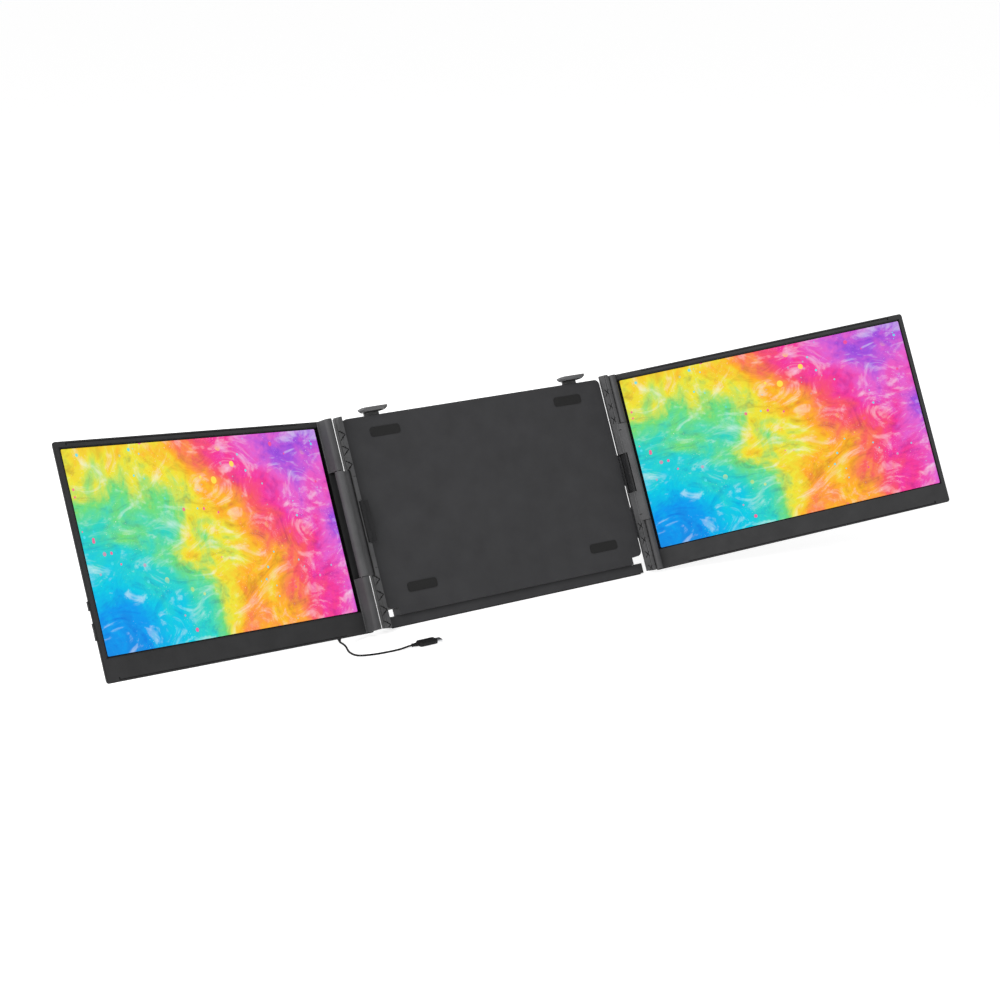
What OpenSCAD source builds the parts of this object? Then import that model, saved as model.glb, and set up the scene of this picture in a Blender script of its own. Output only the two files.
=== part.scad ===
// Laptop screen extender: two hinged side screens on sliding arms, carried by a
// leaning centre unit that stands behind a laptop's lid on a foot strip and a rear stand.
//
// Everything is drawn in the unit's own frame: x across, z up along the leaning unit
// and y back from the laptop lid's glass. on_desk() leans it back onto the desk at z = 0.
// Sides are drawn right-handed and mirrored for the left; side 0 is left, side 1 is right.

/* [Stance] */
// Lean of the unit back from upright, degrees
lean = 25; // [20:1:30]
// Forward swing of the left screen at rest, degrees
left_swing = 20; // [12:1:26]
// Forward swing of the right screen at rest, degrees
right_swing = 19.6; // [12:0.2:26]
// Clearance that the rubber foot gives the columns above the desk
desk_gap = 1; // [0.6:0.1:2]

/* [Side screens] */
// Width of the lit picture
picture_w = 344.2; // [330:0.1:346]
// Height of the lit picture
picture_h = 193.6; // [186:0.1:200]
// Bezel beside the picture, at the outer end
side_bezel = 6.1; // [5:0.1:8]
// Bezel above the picture
top_bezel = 7; // [6:0.1:9]
// Deep chin below the picture
chin_h = 23.6; // [20:0.1:26]
// Black border between the picture and the left screen's lugs
left_border = 5.2; // [4.6:0.1:5.6]
// Black border between the picture and the right screen's lugs
right_border = 3; // [2.5:0.1:3.4]
// Black border round the other three sides of the picture
outer_border = 1.5; // [1:0.1:2.5]
// Thickness of the bezel frame
bezel_t = 1.2; // [1:0.1:1.4]
// Thickness of the screen at its rim
rim_t = 4.2; // [4:0.1:4.6]
// Depth of the raised pan behind the rim
pan_t = 3.8; // [3.6:0.1:4]
// Wall of the plastic covers
cover_wall = 1.2; // [1:0.1:1.5]
// Thickness of the display's glass
glass_t = 1.2; // [0.8:0.1:1.2]
// Thickness of the backlight unit
light_t = 0.8; // [0.6:0.1:0.9]
// Corner radius of the screens
screen_r = 3; // [2:0.5:5]

/* [Screen hinges] */
// Radius of the left hinge's barrels
left_barrel_r = 5; // [4.6:0.1:5.4]
// Radius of the right hinge's barrels
right_barrel_r = 4; // [3.8:0.1:4.2]
// Left screen's face behind its hinge axis
left_lift = 9.8; // [9.6:0.1:10]
// Left hinge axis in front of the lid's glass
left_axis_front = 5.5; // [5.3:0.1:6]
// Right hinge axis in front of the lid's glass
right_axis_front = 1.5; // [1.4:0.1:1.7]
// Left hinge axis beyond the column's outer face
left_axis_out = 15.4; // [15.2:0.1:17]
// Hinge shaft radius
shaft_r = 1.5; // [1.3:0.1:1.6]
// Length of each shaft inside its lug
shaft_in_lug = 34; // [25:1:40]
// Length of each shaft inside the middle knuckle
shaft_in_knuckle = 20; // [15:1:30]
// Height of the middle knuckle and its hinge block
knuckle_h = 111; // [100:1:120]
// Gap between the knuckle's ends and the lugs
knuckle_gap = 0.6; // [0.4:0.1:0.8]
// Gap round other moving fits
play = 0.3; // [0.25:0.05:0.4]
// Radial running clearance of pins and shafts
running = 0.05; // [0.03:0.01:0.08]
// Number of torque washers on each shaft
washer_count = 4; // [2:1:5]
// Thickness of a torque washer
washer_t = 1.2; // [0.8:0.1:1.4]

/* [Columns] */
// Distance between the columns' inner faces, arms closed
opening_w = 339.2; // [338:0.2:350]
// Width of a column
column_w = 5; // [4.8:0.1:5.4]
// Column's front face in front of the lid's glass
column_front = 1.9; // [1.7:0.1:2.2]
// Column's rear face behind the lid's glass
column_back = 11.6; // [11.4:0.1:13]
// Height of a column
column_h = 224.6; // [216:0.2:232]
// Gap below the column's end, up from the screens' lower edge
column_drop = 0.6; // [0.2:0.1:1.5]
// Slope of the column's ends, up towards the back, degrees
end_slope = 6; // [2:1:8]
// Chamfer along the column's outer top edge
end_chamfer = 2; // [1:0.1:2.4]
// Rise from one crossed groove to the next
groove_pitch = 16; // [14:0.5:16.5]
// Crossed grooves on each upper column cover; the lower cover has one more
groove_rows = 3; // [2:1:3]
// First crossed groove from the hinge block
groove_start = 5.5; // [5.5:0.1:6]
// Width of a groove
groove_w = 1; // [0.8:0.1:1.2]
// Depth of a groove
groove_d = 1.4; // [0.8:0.1:1.5]

/* [Side clips] */
// Height of a clip
clip_h = 44; // [36:1:56]
// Reach of a clip from its pin to its tip
clip_reach = 9.4; // [8:0.2:9.6]
// Thickness of a clip
clip_t = 2; // [1.8:0.1:2.2]
// Radius of a clip's pin
clip_pin_r = 0.5; // [0.4:0.05:0.6]

/* [Arms] */
// Outward travel of each arm
arm_travel = 35; // [20:1:36]
// Length of a slide plate inside the centre unit, arms closed
plate_in = 66; // [60:1:72]
// Height of a slide plate
plate_h = 35; // [28:1:38]
// Thickness of a slide plate
plate_t = 2; // [1.6:0.1:2.2]
// Lower edge of the lower slide plate
plate_low_z = 40; // [36:1:44]
// Lower edge of the upper slide plate
plate_high_z = 100; // [94:1:104]

/* [Centre unit] */
// Gap between the centre unit and a column, arms closed
side_gap = 3.6; // [3:0.1:5]
// Lower edge of the lid support
frame_low = 20; // [18:1:21]
// Height of the lid support
frame_h = 203; // [196:1:204]
// Front face behind the lid's glass
frame_front = 7; // [6.5:0.1:7.4]
// Depth of the front shell
frame_depth = 8; // [8:0.5:10]
// Depth of the rear cover
cover_depth = 6; // [5.8:0.1:7]
// Corner radius
frame_r = 6; // [4:1:9]
// Front of the foot rail behind the lid's glass
rail_front = 12; // [11:0.5:13]
// Top of the foot rail
rail_top = 12; // [9:0.5:14]
// Rail to lid support joint: inset of the relief for the laptop's hinges
relief_w = 14; // [8:1:24]
// Thickness of the rubber foot strip
foot_t = 1.2; // [0.8:0.1:2]
// Thickness of the lid pads
pad_t = 0.6; // [0.4:0.1:1]

/* [Top hooks] */
// Hook's centre, out from the middle
hook_x = 128; // [110:0.1:132]
// Width of a hook
hook_w = 32.4; // [26:0.2:38]
// Front edge of a hook in front of the lid's glass
hook_front = 3.2; // [2:0.1:4]
// Thickness of a hook
hook_t = 4; // [3:0.5:6]
// Underside of a hook above the screens' lower edge
hook_z = 226.6; // [226:0.1:230]
// Width of a hook's stem
stem_w = 18; // [12:1:22]
// Upward travel of a hook
hook_travel = 30; // [15:1:32]

/* [Rear stand] */
// Opening angle of the stand from the unit
stand_open = 45; // [38:1:52]
// Width of the stand
stand_w = 180; // [120:5:190]
// Thickness of the stand
stand_t = 3; // [2.5:0.1:3.4]
// Height of the stand's hinge axis
stand_z = 125; // [115:1:130]
// Radius of the stand's barrel
stand_barrel_r = 2.2; // [2:0.1:2.3]
// Radius of the stand's pins
stand_pin_r = 1; // [0.8:0.1:1.1]
// Radius of the stand's rubber foot
stand_foot_r = 2.2; // [2:0.1:2.6]

/* [Buttons] */
// Length of the power button
power_l = 9; // [7:0.5:12]
// Length of the menu rocker
rocker_l = 16; // [12:0.5:20]
// Width of both buttons
button_w = 1.8; // [1.4:0.1:2]
// How far the buttons stand out of the edge
button_out = 0.7; // [0.5:0.1:0.9]
// Centre of the power button above the lower edge
power_z = 72; // [64:1:90]
// Centre of the rocker above the lower edge
rocker_z = 48; // [40:1:54]

/* [Cord] */
// Diameter of the cord
cord_d = 2; // [1.8:0.1:2.8]
// Port of the cord, out from the left hinge axis
cord_port_x = 42.4; // [38:0.2:44]

/* [Hidden] */
$fn = 48;
hull_fn = 32;      // corners inside a hull
eps = 0.01;        // thickness of the thin slabs that a hull joins
over = 1;          // how far a cut runs past the face it opens

lug_fillet = 1;     // fillet where a lug meets the bezel
seam_w = 0.7;       // seams that run along the column covers
seam_d = 1;

// Sides, as [left, right]
swing = [left_swing, right_swing];
barrel_r = [left_barrel_r, right_barrel_r];
lift = [left_lift, right_barrel_r + play];
column_in = opening_w / 2;
column_out = column_in + column_w;
axis_x = [column_out + left_axis_out, column_out + right_barrel_r + play];
axis_y = [-left_axis_front, -right_axis_front];
inner_border = [left_border, right_border];
reach = [for (s = [0, 1]) barrel_r[s] + inner_border[s] + lug_fillet];
strip_w = [7, 2.5];   // screen body inboard of the hinge axis, behind the barrels

// Column and hinge block
column_mid = column_drop + column_h / 2;
knuckle_z = [column_mid - knuckle_h / 2, column_mid + knuckle_h / 2];
column_z = [column_drop, column_drop + column_h];
column_y = [-column_front, column_back];

// Screens
screen_h = chin_h + picture_h + top_bezel;
screen_t = rim_t + pan_t;
pan_inset = 6;        // pan's root from the screen's edge, beside and above
pan_slope = 8;        // run of the pan's sloping sides
pan_low = 2;          // pan's root from the lower edge, where the ports open
cavity_t = bezel_t + glass_t + light_t;
screw_r = 1;
screw_head_r = 1.8;
ports_at = [[56, 9], [72, 11.2]];   // USB-C and mini video port: position and width
port_depth = 3.2;
relief_r = 2.2;
panel_margin = 0.9;   // display hidden under the bezel
pan_edge = 15;        // solid edge of the pan round its hollow
button_in = 2.2;
button_flange = 0.8;

// Centre unit
frame_x = column_in - side_gap;
frame_z = [frame_low, frame_low + frame_h];
frame_y = [frame_front, frame_front + frame_depth];
cover_y = [frame_y[1], frame_y[1] + cover_depth];
plate_y = [frame_front + cover_wall + play + 0.7, frame_front + cover_wall + play + 0.7 + plate_t];
plate_zs = [plate_low_z, plate_high_z];
stem_y = plate_y;
boss_r = 3.2;
boss_x = frame_x - 16;
boss_z = [frame_z[0] + 8, frame_z[1] - 13];
board_z = [150, 196];
board_x = 48;
board_y = [frame_front + 4.6, frame_front + 6.2];

// Stand: closed, it lies flush with the rear cover
stand_y = cover_y[1] - stand_barrel_r;
stand_recess = stand_y - stand_barrel_r - 0.4;
stand_plate_y = [stand_barrel_r - stand_t, stand_barrel_r];
stand_mid = stand_barrel_r - stand_t / 2;

// Desk: the foot strip's face lies at z = 0 below the rail
desk_rise = column_back * sin(lean) - column_drop * cos(lean) + desk_gap;
strip_y = [rail_front + 0.5, stand_recess - 0.4];
foot_y = (strip_y[0] + strip_y[1]) / 2;
foot_z = (foot_y * sin(lean) - desk_rise) / cos(lean);
desk_back = -(foot_z * sin(lean) + foot_y * cos(lean));

stand_height = stand_z * cos(lean) - stand_y * sin(lean) + desk_rise;
stand_slope = stand_open - lean;
stand_l = (stand_height + stand_mid * sin(stand_slope) - stand_foot_r) / cos(stand_slope);

// Clip
clip_axis = [column_in + 2.4, -column_front + 0.7];
clip_turn = [0, -90];   // left one over the lid's edge, right one put away
clip_knuckle_r = clip_t / 2 + 0.3;
clip_z = [column_mid - clip_h / 2, column_mid + clip_h / 2];

// Cord: its exit from the left screen's lower edge, then its route over the desk as
// [across, forward, share of the exit's height, share of the plug's height]
cord_r = cord_d / 2;
cord_sides = 8;
relief_drop = 3;
plug_size = [20, 10.6, 5.2];
port_front = [cord_port_x, left_lift + rim_t + 1.2];
port_out = port_front[0] * cos(left_swing) + port_front[1] * sin(left_swing);
port_back = axis_y[0] - port_front[0] * sin(left_swing) + port_front[1] * cos(left_swing);
cord_exit = [-axis_x[0] - port_out,
    desk_back + port_back * cos(lean) - relief_drop * sin(lean),
    desk_rise - port_back * sin(lean) - relief_drop * cos(lean)];
cord_route = [[0, 0, 1, 0], [0.5, -1.4, 0.9, 0], [1.3, -3.4, 0.76, 0], [1.9, -6.4, 0.55, 0],
    [1.6, -9.6, 0.36, 0], [0.6, -13, 0.19, 0], [-0.6, -17, 0.07, 0], [-1.4, -21.4, 0, 0],
    [-1.7, -26, 0, 0], [-1.1, -30.6, 0, 0], [0.9, -34, 0, 0], [3.6, -36, 0, 0], [7, -37.6, 0, 0],
    [11, -38.9, 0, 0], [15.8, -40.1, 0, 0], [21, -41, 0, 0], [26.6, -41.6, 0, 0], [32.4, -42, 0, 0],
    [38.6, -42.3, 0, 0], [44.6, -42.5, 0, 0.14], [50, -42.6, 0, 0.5], [54.6, -42.6, 0, 0.86],
    [58.8, -42.6, 0, 1]];
cord_path = [for (p = cord_route) [cord_exit[0] + p[0], cord_exit[1] + p[1],
    cord_r + p[2] * (cord_exit[2] - cord_r) + p[3] * (plug_size[2] / 2 - cord_r)]];

// ---------------------------------------------------------------- helpers

function grow(v, d) = [v[0] - d, v[1] + d];

module box(x, y, z) translate([x[0], y[0], z[0]]) cube([x[1] - x[0], y[1] - y[0], z[1] - z[0]]);

// Outline in x and z with round corners
module round_rect(x, z, r) {
    translate([x[0] + r, z[0]]) square([x[1] - x[0] - 2 * r, z[1] - z[0]]);
    translate([x[0], z[0] + r]) square([x[1] - x[0], z[1] - z[0] - 2 * r]);
    for (cx = [x[0] + r, x[1] - r], cz = [z[0] + r, z[1] - r]) translate([cx, cz]) circle(r);
}

// Plate with round corners, y[0] to y[1] thick
module plate(x, y, z, r)
    translate([0, y[1], 0]) rotate([90, 0, 0]) linear_extrude(y[1] - y[0]) round_rect(x, z, r);

// Plate whose outline shrinks by inset towards y[1], after a straight part up to y_mid
module tapered_plate(x, y, z, r, y_mid, inset) hull() {
    plate(x, [y[0], y_mid], z, r, $fn = hull_fn);
    plate(grow(x, -inset), [y[1] - eps, y[1]], grow(z, -inset), r, $fn = hull_fn);
}

module on_desk() translate([0, desk_back, desk_rise]) rotate([-lean, 0, 0]) children();

// The slab of space between two heights above the desk, seen from the unit's frame
module desk_slab(z) rotate([lean, 0, 0]) translate([0, -desk_back, -desk_rise])
    box([-frame_x - 60, frame_x + 60], [-200, 300], z);

module side(s) mirror([s == 0 ? 1 : 0, 0, 0]) children();

// Screen parts: drawn with the hinge axis at the origin and the screen opened flat
module on_screen(s) on_desk() side(s) translate([axis_x[s], axis_y[s], 0])
    rotate([0, 0, -swing[s]]) children();

module on_clip(s) on_desk() side(s) translate([clip_axis[0], clip_axis[1], 0])
    rotate([0, 0, clip_turn[s]]) children();

function body_x(s) = [-strip_w[s], reach[s] + picture_w + side_bezel];
function picture_x(s) = [reach[s], reach[s] + picture_w];
picture_z = [chin_h, chin_h + picture_h];

// ---------------------------------------------------------------- centre unit

// Outline shared by the front shell and the rear cover: lid support, neck and foot rail
module centre_outline() {
    round_rect([-frame_x, frame_x], frame_z, frame_r);
    translate([-frame_x + relief_w, 0]) square([2 * (frame_x - relief_w), frame_low + frame_r]);
    translate([-frame_x, -4]) square([2 * frame_x, rail_top + 4]);
}

module centre_slab(y)
    translate([0, y[1], 0]) rotate([90, 0, 0]) linear_extrude(y[1] - y[0]) centre_outline();

boss_spots = [for (x = [-boss_x, -60, 60, boss_x], z = boss_z) if (abs(x) > 100 || z > 100) [x, z]];

module centre_frame() color("#2b2c2e") on_desk() {
    difference() {
        centre_slab(frame_y);
        // Hollow behind the front wall
        plate(grow([-frame_x, frame_x], -cover_wall), [frame_front + cover_wall, frame_y[1] + over],
            grow(frame_z, -cover_wall), frame_r - cover_wall);
        // The foot rail stands back from the lid support
        box([-frame_x - over, frame_x + over], [frame_front - over, rail_front], [-10, rail_top]);
        desk_slab([-60, foot_t]);
        // Mouths of the slide plates and of the hook stems
        for (z = plate_zs) box([-frame_x - over, frame_x + over], grow(plate_y, play),
            [z - play, z + plate_h + play]);
        for (m = [-1, 1]) box(grow([m * hook_x, m * hook_x], stem_w / 2 + play), grow(stem_y, play),
            [frame_z[1] - 5, frame_z[1] + over]);
    }
    for (p = boss_spots) translate([p[0], frame_y[1], p[1]]) rotate([90, 0, 0]) difference() {
        cylinder(r = boss_r, h = frame_depth - cover_wall);
        translate([0, 0, -over]) cylinder(r = screw_r + running, h = 6 + over);
    }
    for (x = [-board_x + 5, board_x - 5], z = grow(board_z, -5)) translate([x, board_y[0], z])
        rotate([90, 0, 0]) cylinder(r = 2.5, h = board_y[0] - frame_front - cover_wall);
}

module rear_cover() color("#2b2c2e") on_desk() difference() {
    union() {
        tapered_plate([-frame_x, frame_x], cover_y, frame_z, frame_r, cover_y[1] - 2, 2);
        intersection() {
            centre_slab(cover_y);
            box([-frame_x - over, frame_x + over], [0, 60], [-10, frame_low + frame_r]);
        }
    }
    desk_slab([-60, foot_t]);
    // Hollows beside and above the stand's recess, clear of the screws
    for (m = [0, 1]) mirror([m, 0, 0]) {
        box([stand_w / 2 + 10, boss_x - 8], [cover_y[0] - over, cover_y[1] - 1.6], grow(frame_z, -10));
        box([boss_x - 8 - eps, frame_x - 5], [cover_y[0] - over, cover_y[1] - 1.6], grow(frame_z, -26));
    }
    box([-stand_w / 2, stand_w / 2], [cover_y[0] - over, cover_y[1] - 1.6],
        [stand_z + 14, boss_z[1] - 8]);
    // Recess that the stand folds into, open below, with a wider bay for its brackets
    box(grow([-stand_w / 2, stand_w / 2], 1), [stand_recess, cover_y[1] + over],
        [-20, stand_z + stand_barrel_r + 1]);
    box(grow([-stand_w / 2, stand_w / 2], 6), [stand_recess, cover_y[1] + over],
        grow([stand_z, stand_z], stand_barrel_r + 1));
    // Screw holes with sunk heads
    for (p = boss_spots) translate([p[0], cover_y[1], p[1]]) rotate([90, 0, 0]) {
        translate([0, 0, -over]) cylinder(r = screw_head_r + 0.8 + play, h = 1.4 + over);
        cylinder(r = screw_r + play, h = cover_depth + over);
    }
    // Cooling slots for the joining board
    for (x = [-30 : 6 : 30]) box([x - 1, x + 1], [cover_y[0] - over, cover_y[1] + over], [176, 192]);
}

module cover_screws() color("#3a3a3c") on_desk()
    for (p = boss_spots) translate([p[0], cover_y[1], p[1]]) rotate([90, 0, 0]) difference() {
        union() {
            translate([0, 0, 0.2]) cylinder(r = screw_head_r + 0.8, h = 1.2);
            translate([0, 0, 1.2]) cylinder(r = screw_r, h = cover_depth + 3.5);
        }
        translate([0, 0, 0.2 - over]) cylinder(r = 1, h = 0.6 + over, $fn = 6);
    }

module lid_pads() color("#1b1b1c") on_desk()
    for (x = [-118, 118], z = [frame_z[0] + 18, frame_z[1] - 18])
        plate([x - 18, x + 18], [frame_front - pad_t, frame_front], [z - 5, z + 5], 3);

// One strip along the rail, deeper at its ends beside the stand's recess
module foot_strip() color("#141414") on_desk() intersection() {
    union() {
        box([-frame_x + 4, frame_x - 4], strip_y, [-10, rail_top]);
        for (m = [0, 1]) mirror([m, 0, 0]) box([stand_w / 2 + 4, frame_x - 4],
            [strip_y[0], cover_y[1] - 0.5], [-10, rail_top]);
    }
    desk_slab([0, foot_t]);
}

// C-section guides above and below each slide plate
module slide_guides() color("#8d9093") on_desk()
    for (s = [0, 1], z = plate_zs, up = [0, 1]) side(s)
        translate([0, 0, z + (up == 1 ? plate_h : 0)]) mirror([0, 0, up]) difference() {
            box([frame_x - cover_wall - plate_in + 2, frame_x - cover_wall - 0.3],
                [frame_front + cover_wall, plate_y[1] + 0.9], [-3, 3]);
            box([0, frame_x + over], grow(plate_y, play), [-play, 3 + over]);
        }

module joining_board() color("#1f5b3a") on_desk() {
    box([-board_x, board_x], board_y, board_z);
    for (b = [[-30, 12], [2, 16], [30, 9]])
        box([b[0] - b[1] / 2, b[0] + b[1] / 2], [board_y[1], board_y[1] + 1.2], [board_z[0] + 16, board_z[0] + 16 + b[1]]);
}

// ---------------------------------------------------------------- rear stand

module at_stand() on_desk() translate([0, stand_y, stand_z]) children();

bracket_x = [stand_w / 2 + play, stand_w / 2 + 5];

module stand_brackets() color("#8d9093") at_stand() for (m = [0, 1]) mirror([m, 0, 0]) difference() {
    union() {
        translate([bracket_x[0], 0, 0]) rotate([0, 90, 0])
            cylinder(r = stand_barrel_r, h = bracket_x[1] - bracket_x[0]);
        box(bracket_x, [stand_recess - stand_y, 0], grow([0, 0], stand_barrel_r));
    }
    translate([bracket_x[0] - over, 0, 0]) rotate([0, 90, 0])
        cylinder(r = stand_pin_r + 0.02, h = bracket_x[1] - bracket_x[0] + 2 * over);
}

module stand_pins() color("#b9bcc0") at_stand() for (m = [0, 1]) mirror([m, 0, 0])
    translate([stand_w / 2 - 12, 0, 0]) rotate([0, 90, 0])
        cylinder(r = stand_pin_r, h = bracket_x[1] - stand_w / 2 + 12);

module stand() color("#26272a") at_stand() rotate([stand_open, 0, 0]) difference() {
    union() {
        translate([-stand_w / 2, 0, 0]) rotate([0, 90, 0]) cylinder(r = stand_barrel_r, h = stand_w);
        plate([-stand_w / 2, stand_w / 2], stand_plate_y, [-stand_l, 0], 1);
    }
    // Pin bores in both ends of the barrel
    for (m = [0, 1]) mirror([m, 0, 0]) translate([stand_w / 2 - 13, 0, 0]) rotate([0, 90, 0])
        cylinder(r = stand_pin_r + running, h = 13 + over);
    // Groove that holds the rubber foot
    translate([-stand_w, stand_mid, -stand_l]) rotate([0, 90, 0])
        cylinder(r = stand_foot_r, h = 2 * stand_w);
}

module stand_foot() color("#141414") at_stand() rotate([stand_open, 0, 0])
    translate([-stand_w / 2, stand_mid, -stand_l]) rotate([0, 90, 0])
        cylinder(r = stand_foot_r, h = stand_w);

// ---------------------------------------------------------------- top hooks

module hook(s) color("#3b3c3e") on_desk() side(s) translate([hook_x, 0, 0]) {
    // Boat-shaped plate over the lid's edge: its underside draws in
    hull() {
        translate([0, 0, hook_z + hook_t - eps]) hook_outline(0, eps);
        translate([0, 0, hook_z + hook_t / 2]) hook_outline(0.3, eps);
        translate([0, 0, hook_z]) hook_outline(2.4, eps);
    }
    box([-stem_w / 2, stem_w / 2], stem_y, [hook_z + hook_t - 64, hook_z + hook_t / 2]);
}

module hook_outline(inset, h) linear_extrude(h) round_rect([-hook_w / 2 + inset, hook_w / 2 - inset],
    [-hook_front + inset, stem_y[1] + 1 - inset / 2], 5, $fn = hull_fn);

module hook_pad(s) color("#141414") on_desk() side(s) translate([hook_x, 0, 0])
    box([-hook_w / 2 + 7, hook_w / 2 - 7], [-hook_front + 3, stem_y[0] - 2], [hook_z - pad_t, hook_z]);

// ---------------------------------------------------------------- arms

// A stroke of the groove pattern on a face across x, from [y, z] to [y, z]
module side_stroke(x, a, b) {
    d = b - a;
    translate([x, a[0], a[1]]) rotate([atan2(d[1], d[0]), 0, 0])
        translate([-groove_d, 0, -groove_w / 2]) cube([2 * groove_d, norm(d), groove_w]);
}

// The same on the front face, from [x, z] to [x, z]
module front_stroke(a, b) {
    d = b - a;
    translate([a[0], -column_front, a[1]]) rotate([0, -atan2(d[1], d[0]), 0])
        translate([0, -groove_d, -groove_w / 2]) cube([norm(d), 2 * groove_d, groove_w]);
}

// Chevrons that wrap the outer front edge (on the left), and crosses on the inner face
module grooves(s, z0, dir, rows) for (i = [0 : rows - 1]) {
    z = z0 + dir * groove_pitch * i;
    for (m = [-1, 1]) {
        if (s == 0) front_stroke([column_in + 1.2, z], [column_out + 0.2, z + m * 2.9]);
        side_stroke(column_out, [-column_front - 0.2, z + m * 2.7], [-column_front + 5.4, z + m * 5.2]);
        side_stroke(column_in, [-column_front + 0.3, z - m * 2.7], [-column_front + 7.3, z + m * 3.9]);
    }
}

// Seams along a column cover: one behind each front corner
module seams(z) {
    box([column_out - seam_d, column_out + over], grow([5, 5], seam_w / 2), z);
    box([column_in - over, column_in + seam_d], grow([-column_front + 1.1, -column_front + 1.1], seam_w / 2), z);
}

module column_bar(z) translate([0, 0, z[0]]) linear_extrude(z[1] - z[0])
    round_rect([column_in, column_out], column_y, 0.8);

// Sloping end of a column: what lies beyond it is cut away
module column_end(z) translate([0, -column_front, z]) rotate([end_slope, 0, 0]) children();

module upper_column(s) color("#3a3b3d") on_desk() side(s) difference() {
    column_bar([knuckle_z[1], column_z[1] + 4]);
    column_end(column_z[1]) {
        box([column_in - over, column_out + over], [-5, 20], [0, 10]);
        translate([column_out - end_chamfer, 0, 0]) rotate([0, 50, 0]) box([-over, 8], [-5, 20], [0, 8]);
    }
    grooves(s, knuckle_z[1] + groove_start, 1, groove_rows);
    seams([knuckle_z[1] - over, column_z[1] + 4 + over]);
}

module lower_column(s) color("#3a3b3d") on_desk() side(s) difference() {
    column_bar([column_z[0] - 1, knuckle_z[0]]);
    column_end(column_z[0]) box([column_in - over, column_out + over], [-5, 20], [-10, 0]);
    grooves(s, knuckle_z[0] - groove_start, -1, groove_rows + 1);
    seams([column_z[0] - 2, knuckle_z[0] + over]);
}

// Web from the column to the knuckle: set back behind a groove on the left, flush on the right
function web(s) = s == 0
    ? [[column_out - 1, 1], [axis_x[0] - 4, axis_y[0] + 2.8], [axis_x[0], axis_y[0] + 4.4],
        [axis_x[0] - 4.6, axis_y[0] + 7], [column_out - 1, 6]]
    : [[column_in + 1.6, -column_front], [axis_x[1] - barrel_r[1] * 0.36, axis_y[1] - barrel_r[1] * 0.93],
        [axis_x[1], axis_y[1]], [axis_x[1], axis_y[1] + barrel_r[1]], [column_out - 1, axis_y[1] + barrel_r[1]]];

module hinge_block(s) color("#3a3b3d") on_desk() side(s) difference() {
    union() {
        column_bar(knuckle_z);
        translate([0, 0, knuckle_z[0]]) linear_extrude(knuckle_h) polygon(web(s));
        translate([axis_x[s], axis_y[s], knuckle_z[0]]) cylinder(r = barrel_r[s], h = knuckle_h);
    }
    // Shaft bores, one from each end of the knuckle
    for (z = [knuckle_z[0] - over, knuckle_z[1] - shaft_in_knuckle])
        translate([axis_x[s], axis_y[s], z]) cylinder(r = shaft_r + 0.02, h = shaft_in_knuckle + over);
    // Slot that the side clip folds into, open to the front corner
    box([column_in - over, clip_axis[0] + clip_knuckle_r + play],
        [-column_front - over, clip_axis[1] + clip_reach + 0.6], grow(clip_z, play));
    // Bore of the clip's pin
    translate([clip_axis[0], clip_axis[1], clip_z[0] - 4])
        cylinder(r = clip_pin_r + 0.02, h = clip_h + 8);
    // Fine score lines near the ends
    for (z = [knuckle_z[0] + 7, knuckle_z[1] - 7])
        box([column_in - over, column_out - 1.5], [-column_front - over, -column_front + 0.5],
            grow([z, z], 0.35));
}

module slide_plates(s) color("#9a9da1") on_desk() side(s) for (z = plate_zs) difference() {
    box([frame_x - plate_in, column_in], plate_y, [z, z + plate_h]);
    // Long slots that lighten the plates
    for (k = [0.3, 0.7]) translate([frame_x - plate_in + 12, plate_y[1] + over, z + k * plate_h])
        rotate([90, 0, 0]) linear_extrude(plate_t + 2 * over)
            round_rect([0, 26], [-3, 3], 2.9);
}

shaft_z = [[knuckle_z[0] - shaft_in_lug, knuckle_z[0] + shaft_in_knuckle - 0.5],
    [knuckle_z[1] - shaft_in_knuckle + 0.5, knuckle_z[1] + shaft_in_lug]];

module hinge_shafts(s) color("#b9bcc0") on_desk() side(s) for (z = shaft_z)
    translate([axis_x[s], axis_y[s], z[0]]) cylinder(r = shaft_r, h = z[1] - z[0]);

washer_r = [for (r = barrel_r) r - 1.5];
washer_step = washer_t + 0.3;
washer_bay = washer_count * washer_step + play;

module torque_washers(s) color("#d0d2d5") on_desk() side(s)
    for (up = [0, 1], i = [0 : washer_count - 1])
        translate([axis_x[s], axis_y[s], up == 1 ? knuckle_z[1] + knuckle_gap + i * washer_step
            : knuckle_z[0] - knuckle_gap - i * washer_step - washer_t]) difference() {
                cylinder(r = washer_r[s], h = washer_t);
                translate([0, 0, -over]) cylinder(r = shaft_r + 0.02, h = washer_t + 2 * over);
            }

// Side clip, drawn swung out: a flap from its pin inwards over the lid's edge
module clip(s) color("#2e2f31") on_clip(s) difference() {
    union() {
        translate([0, 0, clip_z[0]]) cylinder(r = clip_knuckle_r, h = clip_h);
        translate([-clip_reach + clip_t / 2, 0, clip_z[0]]) cylinder(r = clip_t / 2, h = clip_h);
        box([-clip_reach + clip_t / 2, 0], [-clip_t / 2, clip_t / 2], clip_z);
        // Thumb rail that closes the block's front corner when the clip is put away, with two nubs
        box([-2.3, 0.7], [-2.1, 0], clip_z);
        for (z = grow([column_mid, column_mid], 14.3))
            box([-3.5, -2.2], [-2.1, 0], grow([z, z], 3.4));
    }
    translate([0, 0, clip_z[0] - over]) cylinder(r = clip_pin_r + running, h = clip_h + 2 * over);
}

module clip_pad(s) color("#101010") on_clip(s)
    box([-clip_reach + 0.8, -3], [clip_t / 2, clip_t / 2 + 0.4], grow(clip_z, -2));

module clip_pin(s) color("#b9bcc0") on_desk() side(s)
    translate([clip_axis[0], clip_axis[1], clip_z[0] - 3.5]) cylinder(r = clip_pin_r, h = clip_h + 7);

// ---------------------------------------------------------------- side screens

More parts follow.
